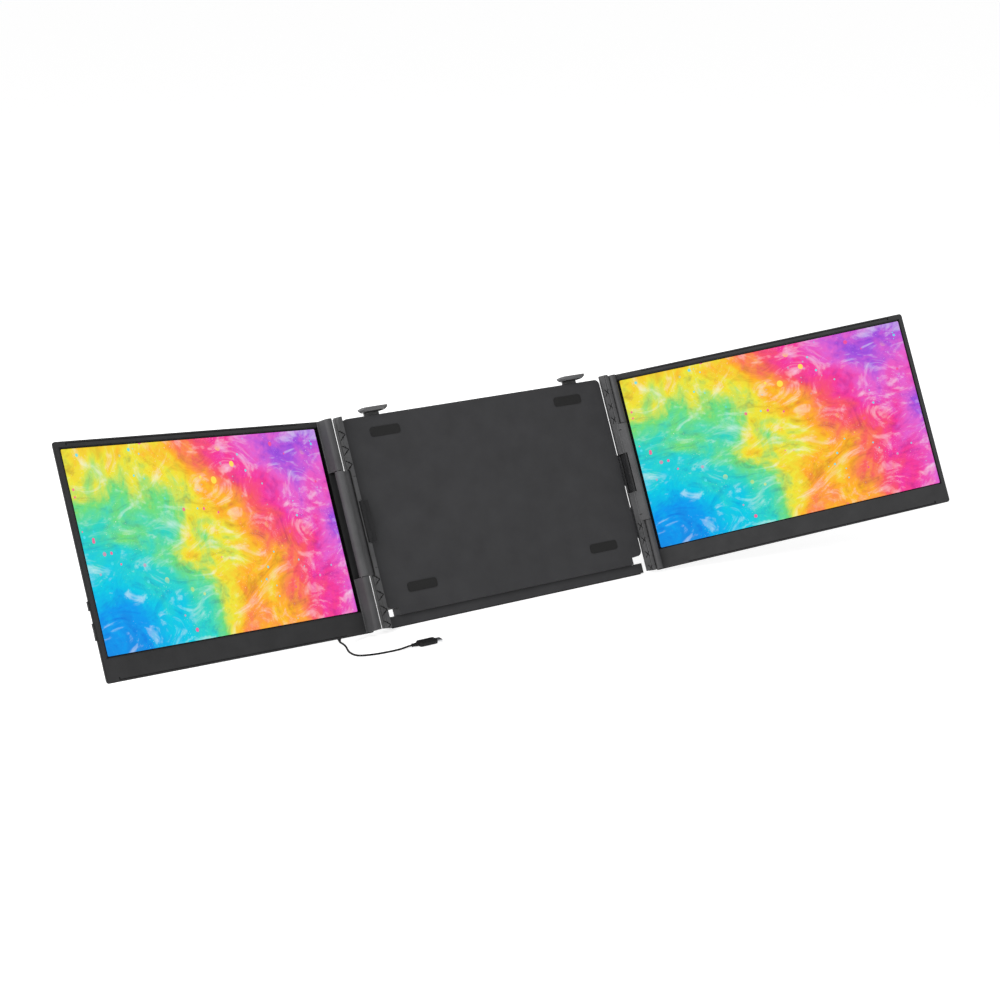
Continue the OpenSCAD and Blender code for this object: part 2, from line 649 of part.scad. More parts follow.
module bezel(s) color("#3c3d3f") on_screen(s) difference() {
    hull() {
        plate(grow(body_x(s), -0.5), [lift[s], lift[s] + eps], grow([0, screen_h], -0.5), screen_r,
            $fn = hull_fn);
        plate(body_x(s), [lift[s] + 0.5, lift[s] + bezel_t], [0, screen_h], screen_r, $fn = hull_fn);
    }
    box([picture_x(s)[0] - inner_border[s], picture_x(s)[1] + outer_border],
        [lift[s] - over, lift[s] + bezel_t + over], grow(picture_z, outer_border));
}

// Section of a lug: barrel on a foot that blends into the bezel
module lug_section(s) {
    r = barrel_r[s];
    circle(r);
    polygon([[-r, 0], [r, 0], [r, lift[s]], [-strip_w[s], lift[s]]]);
    difference() {
        translate([r - eps, lift[s] - lug_fillet]) square([lug_fillet + eps, lug_fillet]);
        translate([r + lug_fillet, lift[s] - lug_fillet]) circle(lug_fillet);
    }
}

module hinge_lugs(s) color("#3a3b3d") on_screen(s)
    for (z = [[column_drop + 0.6, knuckle_z[0] - knuckle_gap], [knuckle_z[1] + knuckle_gap, screen_h - 0.4]]) {
        low = z[0] < column_mid ? 1 : 0;
        difference() {
            translate([0, 0, z[0]]) linear_extrude(z[1] - z[0]) lug_section(s);
            // Blind shaft bore from the knuckle's side, and the wider bay of the torque washers
            translate([0, 0, low == 1 ? knuckle_z[0] - shaft_in_lug - 0.5 : z[0] - over])
                cylinder(r = shaft_r + running, h = shaft_in_lug + 0.5 + (low == 1 ? 0 : over));
            translate([0, 0, low == 1 ? z[1] - washer_bay : z[0] - over])
                cylinder(r = washer_r[s] + play, h = washer_bay + over);
        }
    }

function panel_x(s) = [reach[s] - inner_border[s] - panel_margin,
    reach[s] + picture_w + outer_border + panel_margin];
panel_z = grow(picture_z, outer_border + panel_margin);

module display(s) color("#0c0d10") on_screen(s)
    box(panel_x(s), [lift[s] + bezel_t, lift[s] + bezel_t + glass_t], panel_z);

module backlight(s) color("#d8dade") on_screen(s)
    box(panel_x(s), [lift[s] + bezel_t + glass_t, lift[s] + cavity_t], panel_z);

function pan_floor(s) = lift[s] + screen_t - cover_wall;

function back_screws_at(s) = [for (x = [body_x(s)[0] + 30, body_x(s)[1] - 30], z = [26, screen_h - 30])
    [x, z]];

module screen_back(s) color("#333436") on_screen(s) difference() {
    union() {
        tapered_plate(body_x(s), [lift[s] + bezel_t, lift[s] + rim_t], [0, screen_h], screen_r,
            lift[s] + bezel_t + 1.4, 1.4);
        pan(s);
    }
    // Hollow behind the bezel for the display and backlight
    box(grow(panel_x(s), 0.1), [lift[s], lift[s] + cavity_t], grow(panel_z, 0.1));
    pan_hollow(s);
    // Port openings and the cord's hole in the lower edge
    for (p = ports_at) box(grow([p[0], p[0]], p[1] / 2 + 0.15),
        grow([port_y(s), port_y(s)], port_depth / 2 + 0.15), [-over, 12]);
    if (s == 0) translate([cord_port_x, port_y(s), -over]) cylinder(r = relief_r + 0.02, h = 10 + over);
    button_bay(s, power_z, power_l);
    button_bay(s, rocker_z, rocker_l);
    // Sunk screw holes
    for (p = back_screws_at(s)) translate([p[0], lift[s] + screen_t, p[1]]) rotate([90, 0, 0]) {
        translate([0, 0, -over]) cylinder(r = screw_head_r + 0.1, h = 1.2 + over);
        cylinder(r = screw_r + 0.1, h = 3.4);
    }
}

// Raised pan with sloping sides
module pan(s) hull() {
    plate(grow(body_x(s), -pan_inset), [lift[s] + rim_t - 0.5, lift[s] + rim_t],
        [pan_low, screen_h - pan_inset], screen_r, $fn = hull_fn);
    plate(grow(body_x(s), -pan_inset - pan_slope), [lift[s] + screen_t - eps, lift[s] + screen_t],
        [pan_low + 1.2, screen_h - pan_inset - pan_slope], screen_r, $fn = hull_fn);
}

// Room for the boards inside the pan, clear of the screws' bosses
module pan_hollow(s) difference() {
    box(grow(body_x(s), -pan_inset - pan_edge), [lift[s], pan_floor(s)],
        [pan_low + 2, screen_h - pan_inset - pan_edge]);
    for (p = back_screws_at(s)) translate([p[0], lift[s] + screen_t, p[1]]) rotate([90, 0, 0])
        cylinder(r = 4, h = screen_t - cavity_t);
}

// Bay of a button in the outer edge: a wide pocket for its flange, and a mouth
module button_bay(s, z, l) {
    box([body_x(s)[1] - button_in - 0.7, body_x(s)[1] + over],
        grow([button_y(s), button_y(s)], button_w / 2 + 0.2), grow([z, z], l / 2 + 0.25));
    box([body_x(s)[1] - button_in - 0.7, body_x(s)[1] - button_in + 1.2],
        grow([button_y(s), button_y(s)], button_w / 2 + 0.2), grow([z, z], l / 2 + button_flange + 0.3));
}

function port_y(s) = lift[s] + rim_t + 1.2;
function button_y(s) = lift[s] + bezel_t + 1.6;

module back_screws(s) color("#3a3a3c") on_screen(s)
    for (p = back_screws_at(s)) translate([p[0], lift[s] + screen_t, p[1]]) rotate([90, 0, 0])
        difference() {
            union() {
                translate([0, 0, 0.2]) cylinder(r = screw_head_r, h = 1);
                translate([0, 0, 1]) cylinder(r = screw_r, h = 2.2);
            }
            translate([0, 0, 0.2 - over]) cylinder(r = 0.8, h = 0.5 + over, $fn = 6);
        }

// Driver board with its larger chips, lying on the pan's floor behind the ports
module driver_board(s) color("#1f5b3a") on_screen(s) {
    box([reach[s] + 36, reach[s] + 150], [pan_floor(s) - 1.3, pan_floor(s)], [11.6, 50]);
    for (x = [50, 84, 118])
        box([reach[s] + x, reach[s] + x + 14], [pan_floor(s) - 2.3, pan_floor(s) - 1.3], [24, 38]);
}

// Metal port shells behind the openings: one USB-C and one mini video port
module ports(s) color("#a9acb0") on_screen(s) for (p = ports_at) difference() {
    box(grow([p[0], p[0]], p[1] / 2), grow([port_y(s), port_y(s)], port_depth / 2), [pan_low + 1, 11.5]);
    box(grow([p[0], p[0]], p[1] / 2 - 0.4), grow([port_y(s), port_y(s)], port_depth / 2 - 0.4),
        [pan_low, 10.5]);
}

// Flanged caps of the edge buttons; the rocker has a shallow valley in the middle
module button_cap(s, profile, z, l) translate([0, button_y(s) + button_w / 2, 0]) rotate([90, 0, 0])
    linear_extrude(button_w) {
        polygon(profile);
        translate([body_x(s)[1] - button_in, z - l / 2 - button_flange])
            square([1, l + 2 * button_flange]);
    }

module power_button(s) color("#1c1c1d") on_screen(s) button_cap(s, [
    [body_x(s)[1] - button_in, power_z - power_l / 2], [body_x(s)[1] + button_out, power_z - power_l / 2],
    [body_x(s)[1] + button_out, power_z + power_l / 2], [body_x(s)[1] - button_in, power_z + power_l / 2]],
    power_z, power_l);

module menu_rocker(s) color("#1c1c1d") on_screen(s) button_cap(s, [
    [body_x(s)[1] - button_in, rocker_z - rocker_l / 2], [body_x(s)[1] + button_out, rocker_z - rocker_l / 2],
    [body_x(s)[1] + button_out - 0.3, rocker_z], [body_x(s)[1] + button_out, rocker_z + rocker_l / 2],
    [body_x(s)[1] - button_in, rocker_z + rocker_l / 2]], rocker_z, rocker_l);

// ---------------------------------------------------------------- cord

module strain_relief() color("#161616") on_screen(0) translate([cord_port_x, port_y(0), 0])
    rotate_extrude() polygon([[0, -relief_drop], [cord_r + 0.3, -relief_drop], [relief_r, -0.5],
        [relief_r, 10], [0, 10]]);

function unit(v) = v / norm(v);
// The first ring lies flat on the strain relief's end
function cord_dir(i) = i == 0 ? [0, -sin(lean), -cos(lean)]
    : unit(cord_path[min(i + 1, len(cord_path) - 1)] - cord_path[i - 1]);

// Ring of points round the route, square to it
function cord_ring(i) = let (d = cord_dir(i), u = unit(cross(d, [0.31, 0.17, 1])), v = cross(d, u))
    [for (k = [0 : cord_sides - 1]) let (a = 360 * (k + 0.5) / cord_sides)
        cord_path[i] + cord_r * (cos(a) * u + sin(a) * v)];

module cord() color("#161616") {
    rings = [for (i = [0 : len(cord_path) - 1]) each cord_ring(i)];
    n = len(cord_path);
    walls = [for (i = [0 : n - 2], k = [0 : cord_sides - 1]) let (j = (k + 1) % cord_sides)
        [i * cord_sides + k, (i + 1) * cord_sides + k, (i + 1) * cord_sides + j, i * cord_sides + j]];
    ends = [[for (k = [0 : cord_sides - 1]) k],
        [for (k = [cord_sides - 1 : -1 : 0]) (n - 1) * cord_sides + k]];
    polyhedron(rings, concat(walls, ends));
}

// Plug: moulded grip with a short boot, lying on the desk
plug_boot = 8;

module plug_bar(x, w, h, r) translate([x[0], 0, 0]) rotate([90, 0, 90]) linear_extrude(x[1] - x[0])
    round_rect([-w / 2, w / 2], [-h / 2, h / 2], r);

module on_plug() translate(cord_path[len(cord_path) - 1]) children();

module cord_plug() color("#161616") on_plug() {
    rotate([0, 90, 0]) cylinder(r1 = cord_r + 0.4, r2 = 2.4, h = plug_boot);
    plug_bar([plug_boot, plug_boot + plug_size[0]], plug_size[1], plug_size[2], plug_size[2] / 2 - 0.1);
}

module plug_tip() color("#b9bcc0") on_plug()
    plug_bar([plug_boot + plug_size[0], plug_boot + plug_size[0] + 6.6], 8.3, 2.5, 1.2);

// ---------------------------------------------------------------- nodes

centre_frame();
rear_cover();
lid_pads();
slide_guides();
joining_board();
foot_strip();
cover_screws();
stand_brackets();
stand_pins();
stand();
stand_foot();
hook(0);  // left_hook
hook(1);  // right_hook
hook_pad(0);  // left_hook_pad
hook_pad(1);  // right_hook_pad
upper_column(0);  // left_upper_column
lower_column(0);  // left_lower_column
hinge_block(0);  // left_hinge_block
slide_plates(0);  // left_slide_plates
hinge_shafts(0);  // left_hinge_shafts
torque_washers(0);  // left_torque_washers
clip(0);  // left_clip
clip_pad(0);  // left_clip_pad
clip_pin(0);  // left_clip_pin
upper_column(1);  // right_upper_column
lower_column(1);  // right_lower_column
hinge_block(1);  // right_hinge_block
slide_plates(1);  // right_slide_plates
hinge_shafts(1);  // right_hinge_shafts
torque_washers(1);  // right_torque_washers
clip(1);  // right_clip
clip_pad(1);  // right_clip_pad
clip_pin(1);  // right_clip_pin
bezel(0);  // left_bezel
hinge_lugs(0);  // left_hinge_lugs
display(0);  // left_display
backlight(0);  // left_backlight
screen_back(0);  // left_screen_back
driver_board(0);  // left_driver_board
ports(0);  // left_ports
power_button(0);  // left_power_button
menu_rocker(0);  // left_menu_rocker
back_screws(0);  // left_back_screws
bezel(1);  // right_bezel
hinge_lugs(1);  // right_hinge_lugs
display(1);  // right_display
backlight(1);  // right_backlight
screen_back(1);  // right_screen_back
driver_board(1);  // right_driver_board
ports(1);  // right_ports
power_button(1);  // right_power_button
menu_rocker(1);  // right_menu_rocker
back_screws(1);  // right_back_screws
strain_relief();
cord();
cord_plug();
plug_tip();
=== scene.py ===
"""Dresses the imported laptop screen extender: camera, cord, materials, screens, fine parts."""
import math

import bpy
from mathutils import Matrix, Vector


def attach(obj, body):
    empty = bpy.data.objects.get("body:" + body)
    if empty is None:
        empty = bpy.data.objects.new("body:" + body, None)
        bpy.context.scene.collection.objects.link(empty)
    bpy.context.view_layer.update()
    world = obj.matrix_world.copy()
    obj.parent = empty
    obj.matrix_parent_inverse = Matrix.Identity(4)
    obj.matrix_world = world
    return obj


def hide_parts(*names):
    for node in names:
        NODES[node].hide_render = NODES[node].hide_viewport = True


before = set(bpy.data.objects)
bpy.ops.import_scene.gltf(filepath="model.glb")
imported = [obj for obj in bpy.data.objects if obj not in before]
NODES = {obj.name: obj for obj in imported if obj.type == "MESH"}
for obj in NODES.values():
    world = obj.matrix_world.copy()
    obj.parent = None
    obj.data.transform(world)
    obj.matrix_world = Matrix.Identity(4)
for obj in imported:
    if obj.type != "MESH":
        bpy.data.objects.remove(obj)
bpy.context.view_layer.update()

# ------------------------------------------------------------------ the unit's own frame, in mm
LEAN = math.radians(25)
SIN, COS = math.sin(LEAN), math.cos(LEAN)
# Where part.scad sets the leaning unit down on the desk
DESK_RISE, DESK_BACK = 5.358587, -13.114047


def turn(x, y, z):
    """A direction in the unit's leaning frame, in the row frame."""
    return Vector((x, z * SIN + y * COS, z * COS - y * SIN))


def desk(x, y, z):
    """A point in the unit's leaning frame (mm), in the row frame (m)."""
    return (turn(x, y, z) + Vector((0, DESK_BACK, DESK_RISE))) / 1000


# Each screen: swing at rest in degrees, hinge axis across and back, how far its front face lies
# behind the axis, and how far out its picture starts
HINGES = {"left": (20, (190.0, -5.5), 9.8, 11.2), "right": (19.6, (178.9, -1.5), 4.3, 8.0)}


class Screen:
    """Frame of one side screen: x outboard from its hinge axis, y back, z up (mm)."""

    def __init__(self, side):
        self.sign = -1 if side == "left" else 1
        swing, self.axis, self.lift, self.reach = HINGES[side]
        self.swing = math.radians(swing)

    def unit(self, x, y):
        """Across and back in the unit's leaning frame (mm)."""
        c, s = math.cos(self.swing), math.sin(self.swing)
        return self.sign * (self.axis[0] + x * c + y * s), self.axis[1] - x * s + y * c

    def at(self, x, y, z):
        """A point of the screen, in the row frame (m)."""
        ux, uy = self.unit(x, y)
        return desk(ux, uy, z)

    def out(self):
        """Direction along the screen, away from its hinge."""
        return turn(self.sign * math.cos(self.swing), -math.sin(self.swing), 0)

    def face(self):
        """Direction that the screen's front looks in."""
        return turn(-self.sign * math.sin(self.swing), -math.cos(self.swing), 0)


SCREENS = {"left": Screen("left"), "right": Screen("right")}
UP = turn(0, 0, 1)
PICTURE_W, PICTURE_H = 344.2, 193.6
CHIN, TOP_BEZEL, SIDE_BEZEL = 23.6, 7, 6.1
DISPLAY_DEPTH = 1.2    # panel's face behind the bezel's front
EXIT_X = 42.4          # cord's hole, along the screen
EXIT_DEPTH = 5.4       # cord's hole and ports, behind the bezel's front
PORTS = ((56, 9), (72, 11.2))   # place along the screen and width

# ------------------------------------------------------------------ camera
# Place and axes found from the photograph, in the lid's frame (right, up, towards the viewer),
# which starts 20 mm above the unit's
LID_START = 20
CAM_AT = (-1292.36, -110.83, 1994.83)
CAM_RIGHT = (0.8288, -0.2369, 0.5069)
CAM_FORWARD = (0.5361, 0.0772, -0.8406)


def lid(x, u, n):
    """A direction in the lid's frame, in the row frame."""
    return turn(x, -n, u)


right = lid(*CAM_RIGHT).normalized()
forward = lid(*CAM_FORWARD)
forward = (forward - right * forward.dot(right)).normalized()
up = right.cross(forward)
camera = bpy.data.objects.new("camera", bpy.data.cameras.new("camera"))
bpy.context.scene.collection.objects.link(camera)
view = Matrix((right, up, -forward)).transposed().to_4x4()
view.translation = desk(CAM_AT[0], -CAM_AT[2], CAM_AT[1] + LID_START)
camera.matrix_world = view
camera.data.lens = 80.07
camera.data.sensor_width = 36
camera.data.shift_x = 0.0087
camera.data.shift_y = 0.0178
camera.data.clip_end = 50
bpy.context.scene.camera = camera


# ------------------------------------------------------------------ shader nodes
class Graph:
    """Short calls for making shader nodes."""

    def __init__(self, name):
        self.mat = bpy.data.materials.new(name)
        self.mat.use_nodes = True
        self.tree = self.mat.node_tree
        self.bsdf = self.tree.nodes["Principled BSDF"]

    def node(self, kind, **values):
        n = self.tree.nodes.new("ShaderNode" + kind)
        for key, value in values.items():
            setattr(n, key, value)
        return n

    def put(self, socket, value):
        if isinstance(value, bpy.types.NodeSocket):
            self.tree.links.new(value, socket)
        else:
            socket.default_value = value

    def math(self, op, a, b=0.0):
        n = self.node("Math", operation=op)
        self.put(n.inputs[0], a)
        self.put(n.inputs[1], b)
        return n.outputs[0]

    def vec(self, op, a, b, out=0):
        n = self.node("VectorMath", operation=op)
        self.put(n.inputs[0], a)
        self.put(n.inputs[1], b)
        return n.outputs[out]

    def noise(self, vector, scale, detail=2.0, rough=0.5, distort=0.0):
        n = self.node("TexNoise")
        self.put(n.inputs["Vector"], vector)
        for key, value in (("Scale", scale), ("Detail", detail), ("Roughness", rough),
                           ("Distortion", distort)):
            self.put(n.inputs[key], value)
        return n.outputs["Fac"]

    def ramp(self, fac, stops):
        n = self.node("ValToRGB")
        while len(n.color_ramp.elements) > 1:
            n.color_ramp.elements.remove(n.color_ramp.elements[0])
        for i, (at, colour) in enumerate(stops):
            e = n.color_ramp.elements[0] if i == 0 else n.color_ramp.elements.new(at)
            e.position = at
            e.color = rgba(colour)
        self.put(n.inputs[0], fac)
        return n.outputs[0]

    def scale(self, value, low, high, to_low=0.0, to_high=1.0):
        n = self.node("MapRange", clamp=True)
        for socket, v in zip(n.inputs, (value, low, high, to_low, to_high)):
            self.put(socket, v)
        return n.outputs[0]

    def mix(self, fac, a, b, blend="MIX"):
        n = self.node("Mix", data_type="RGBA", blend_type=blend)
        self.put(n.inputs["Factor"], fac)
        self.put(n.inputs[6], a)
        self.put(n.inputs[7], b)
        return n.outputs[2]

    def object_place(self):
        return self.node("TexCoord").outputs["Object"]

    def bump(self, height, strength, distance, normal=None):
        n = self.node("Bump")
        self.put(n.inputs["Height"], height)
        n.inputs["Strength"].default_value = strength
        n.inputs["Distance"].default_value = distance
        if normal is not None:
            self.put(n.inputs["Normal"], normal)
        return n.outputs[0]

    def soft_edges(self, radius):
        n = self.node("Bevel", samples=4)
        n.inputs["Radius"].default_value = radius
        return n.outputs[0]


def rgba(c, k=1.0):
    """Colour with full alpha, k times as light."""
    return (c[0] * k, c[1] * k, c[2] * k, 1)


# Near black, used both for painted shade and for the dark part lines
SHADE_AND_SEAM_BLACK = (0.002, 0.002, 0.002, 1)


def edge_wear(g, radius, amount):
    """The rounded normal, and how far it leaves the flat one: most on sharp edges, 0 on faces."""
    round_normal = g.soft_edges(radius)
    flat_normal = g.node("NewGeometry").outputs["Normal"]
    bend = g.math("SUBTRACT", 1.0, g.vec("DOT_PRODUCT", round_normal, flat_normal, out=1))
    return round_normal, g.scale(bend, 0.02, 0.25, 0.0, amount)


def painted_recess_shade(g, tone, dark, reach):
    """Tone with painted shade: darker in grooves, corners and slots, where the AO node finds the surface
    closed in.
    """
    n = g.node("AmbientOcclusion", samples=5)
    n.inputs["Distance"].default_value = reach
    return g.mix(g.scale(n.outputs["AO"], 0.35, 0.9, dark, 0.0), tone, SHADE_AND_SEAM_BLACK)


def plastic(name, colour, rough=0.5, grain=0.25, edge=0.0004, spread=0.14, shine=0.32, wear=0.35,
            cells=2600, recess_shade=0.6, reach=0.002, shade_and_lines=None):
    """Moulded plastic with a spark-eroded grain, faint mottling, lightly rubbed edges and painted shade in
    its recesses.
    """
    g = Graph(name)
    place = g.object_place()
    mottle = g.noise(place, 38, 4, 0.6)
    fine = g.noise(place, cells, 2, 0.5)
    normal, rub = edge_wear(g, edge, wear)
    tone = g.mix(g.scale(mottle, 0.3, 0.7), rgba(colour, 1 - spread), rgba(colour, 1 + spread))
    tone = g.mix(g.scale(fine, 0.35, 0.65, 0, 0.18), tone, rgba(colour, 1.6))
    rubbed = g.math("MULTIPLY", rub, g.scale(mottle, 0.35, 0.6, 0.4, 1))
    tone = g.mix(rubbed, tone, rgba([c + 0.05 for c in colour], 1.5))
    # Painted shade on the bezel's side walls, and its dark part lines
    if shade_and_lines:
        tone = g.mix(shade_and_lines(g, place), tone, SHADE_AND_SEAM_BLACK)
    # Painted shade: the base colour darkens towards near black where the surface is closed in
    g.put(g.bsdf.inputs["Base Color"], painted_recess_shade(g, tone, recess_shade, reach))
    uneven = g.math("ADD", g.math("MULTIPLY", mottle, 0.5), g.math("MULTIPLY", fine, 0.5))
    g.put(g.bsdf.inputs["Roughness"], g.scale(uneven, 0.3, 0.7, rough - 0.07, rough + 0.08))
    g.bsdf.inputs["Specular IOR Level"].default_value = shine
    g.put(g.bsdf.inputs["Normal"], g.bump(fine, grain, 0.00006, normal))
    return g.mat


def band(g, value, low, high):
    """1 where the value lies between low and high."""
    return g.math("MULTIPLY", g.math("GREATER_THAN", value, low), g.math("LESS_THAN", value, high))


PART_LINE = (1.5, 2.3)      # part line's two edges, in from the bezel's edge
LINE_END = (1.5, 4.2)       # how far in the line's end tick runs
TICK_W = 1.5
HINGE_END = 36              # length at the hinge side that has no line
FIRST = {"left": 14, "right": 17.5}   # line's start from the outer corner


def bezel_shade_and_lines(side):
    """Painted shade on the side walls (every face that doesn't look to the front), and the part lines of
    the clip-on edge strips with their ends.
    """
    s = SCREENS[side]
    wide, high = s.reach + PICTURE_W + SIDE_BEZEL, CHIN + PICTURE_H + TOP_BEZEL
    first = FIRST[side]

    def shade_and_lines(g, place):
        rel = g.vec("SUBTRACT", place, tuple(s.at(0, s.lift, 0)))
        x = g.math("MULTIPLY", g.vec("DOT_PRODUCT", rel, tuple(s.out()), out=1), 1000)
        z = g.math("MULTIPLY", g.vec("DOT_PRODUCT", rel, tuple(UP), out=1), 1000)
        facing = g.vec("DOT_PRODUCT", g.node("NewGeometry").outputs["Normal"], tuple(s.face()), out=1)
        # Painted shade: faces that turn away from the screen's front darken to near black
        wall_shade = g.scale(facing, 0.6, 0.98, 0.95, 0.0)
        # Distance from the nearer of the lower and upper edges, and from the outer corner
        edge = g.math("MINIMUM", z, g.math("SUBTRACT", high, z))
        corner = g.math("SUBTRACT", wide, x)
        line = g.math("MULTIPLY", band(g, edge, *PART_LINE), band(g, corner, first, wide - HINGE_END))
        end = g.math("MULTIPLY", band(g, edge, *LINE_END), band(g, corner, first, first + TICK_W))
        return g.math("MAXIMUM", wall_shade, g.math("MULTIPLY", g.math("MAXIMUM", line, end), 0.9))

    return shade_and_lines


def rubber(name, colour=(0.012, 0.012, 0.012), rough=0.78):
    """Matt rubber with a fine speckle and soft edges."""
    g = Graph(name)
    place = g.object_place()
    speck = g.noise(place, 900, 3, 0.65)
    tone = g.mix(g.scale(speck, 0.3, 0.7), rgba(colour, 0.8), rgba(colour, 1.5))
    g.put(g.bsdf.inputs["Base Color"], tone)
    g.bsdf.inputs["Specular IOR Level"].default_value = 0.25
    g.put(g.bsdf.inputs["Roughness"], g.scale(speck, 0.3, 0.7, rough - 0.08, rough + 0.08))
    g.put(g.bsdf.inputs["Normal"], g.bump(speck, 0.3, 0.00008, g.soft_edges(0.0003)))
    return g.mat


def metal(name, colour, rough, along=(1, 1, 40)):
    """Machined or drawn metal with fine streaks square to its run."""
    g = Graph(name)
    place = g.vec("MULTIPLY", g.object_place(), along)
    streak = g.noise(place, 420, 3, 0.6)
    g.bsdf.inputs["Metallic"].default_value = 1
    tone = g.mix(g.scale(streak, 0.3, 0.7), rgba(colour, 0.86), rgba(colour, 1.08))
    g.put(g.bsdf.inputs["Base Color"], tone)
    g.put(g.bsdf.inputs["Roughness"], g.scale(streak, 0.3, 0.7, rough - 0.06, rough + 0.1))
    g.put(g.bsdf.inputs["Normal"], g.bump(streak, 0.12, 0.00005, g.soft_edges(0.0002)))
    return g.mat


def board_finish(name):
    """Solder mask with copper runs showing through as slightly raised, lighter paths."""
    g = Graph(name)
    place = g.object_place()
    runs = g.node("TexBrick", offset=0.37, squash=1.7, squash_frequency=3)
    g.put(runs.inputs["Vector"], place)
    runs.inputs["Scale"].default_value = 240
    runs.inputs["Mortar Size"].default_value = 0.06
    speck = g.noise(place, 800, 2, 0.5)
    fac = runs.outputs["Fac"]
    g.put(g.bsdf.inputs["Base Color"], g.mix(fac, (0.006, 0.09, 0.04, 1), (0.02, 0.19, 0.09, 1)))
    g.put(g.bsdf.inputs["Roughness"], g.scale(speck, 0.3, 0.7, 0.28, 0.42))
    g.put(g.bsdf.inputs["Normal"], g.bump(fac, 0.3, 0.0001))
    return g.mat


BLACK_INK, GREY_INK = (0.0015, 0.0015, 0.0017), (0.036, 0.036, 0.037, 1)
# Lit area of each panel, in mm across and up from the picture's left lower corner
LIT = {"left": ((1.8, 0.5), (345.2, 193.3)), "right": ((1.0, -0.1), (344.4, 193.0))}
LIT_R = 1.3        # its corners' radius
BLACK_LINE = 1     # width of the black line round it
FACE_WITHIN = 0.0002   # how far from the panel's face still counts as the face (m)


def paint_clouds(g, u, v):
    """Abstract paint clouds: colour fans that sweep up from one corner, with spray and drops."""
    comb = g.node("CombineXYZ")
    g.put(comb.inputs[0], g.math("MULTIPLY", u, 1.778))
    g.put(comb.inputs[1], v)
    flat = comb.outputs[0]
    big = g.noise(flat, 1.7, 5, 0.56, 0.6)
    mid = g.noise(flat, 5.5, 6, 0.62, 1.2)
    fine = g.noise(flat, 26, 5, 0.7, 0.6)
    # Distance from the corner that the fans spread from
    far = g.vec("LENGTH", g.vec("SUBTRACT", flat, (-0.25, -0.35, 0)), (0, 0, 0), out=1)
    sweep = g.math("MULTIPLY", far, 0.44)
    for cloud, share in ((big, 0.62), (mid, 0.16)):
        sweep = g.math("ADD", sweep, g.math("MULTIPLY", g.math("SUBTRACT", cloud, 0.5), share))
    colour = g.ramp(sweep, [
        (0.10, (0.01, 0.14, 0.62)), (0.22, (0.0, 0.32, 0.86)), (0.34, (0.0, 0.58, 0.78)),
        (0.44, (0.03, 0.66, 0.52)), (0.52, (0.16, 0.72, 0.2)), (0.585, (0.86, 0.78, 0.04)),
        (0.66, (1.0, 0.42, 0.02)), (0.75, (0.95, 0.1, 0.12)), (0.84, (0.92, 0.04, 0.32)),
        (0.93, (0.78, 0.12, 0.62)), (1.0, (0.36, 0.08, 0.72))])
    # Lighter veils and darker folds inside the clouds
    fold = g.noise(g.vec("MULTIPLY", flat, (1, 1.6, 1)), 3.1, 8, 0.66, 2.4)
    colour = g.mix(g.scale(fold, 0.52, 0.74, 0, 0.62), colour, (0.85, 0.95, 1, 1), "SCREEN")
    colour = g.mix(g.scale(fold, 0.46, 0.28, 0, 0.5), colour, (0.22, 0.1, 0.72, 1), "MULTIPLY")
    colour = g.mix(g.scale(fine, 0.5, 0.78, 0, 0.5), colour, (1, 0.95, 0.85, 1), "SOFT_LIGHT")
    # Drops of paint in three sizes, and a fine white spray
    for size, tint in ((13, (1.0, 0.82, 0.08)), (21, (0.95, 0.08, 0.3)), (30, (0.1, 0.75, 0.85))):
        cell = g.node("TexVoronoi", feature="F1")
        g.put(cell.inputs["Vector"], g.vec("ADD", flat, (size * 0.37, size * 0.11, 0)))
        cell.inputs["Scale"].default_value = size
        pick = g.node("SeparateXYZ")
        g.put(pick.inputs[0], cell.outputs["Color"])
        radius = g.math("MULTIPLY", g.math("SUBTRACT", pick.outputs[0], 0.62), 0.75)
        drop = g.math("LESS_THAN", cell.outputs["Distance"], radius)
        where = g.scale(g.noise(flat, 1.3 + size * 0.05, 2, 0.5), 0.5, 0.56)
        colour = g.mix(g.math("MULTIPLY", g.math("MULTIPLY", drop, where), 0.85), colour, rgba(tint))
    spray = g.noise(flat, 160, 2, 0.6)
    near = g.scale(mid, 0.5, 0.62)
    colour = g.mix(g.math("MULTIPLY", g.scale(spray, 0.66, 0.72), near), colour, (1, 1, 1, 1))
    return colour


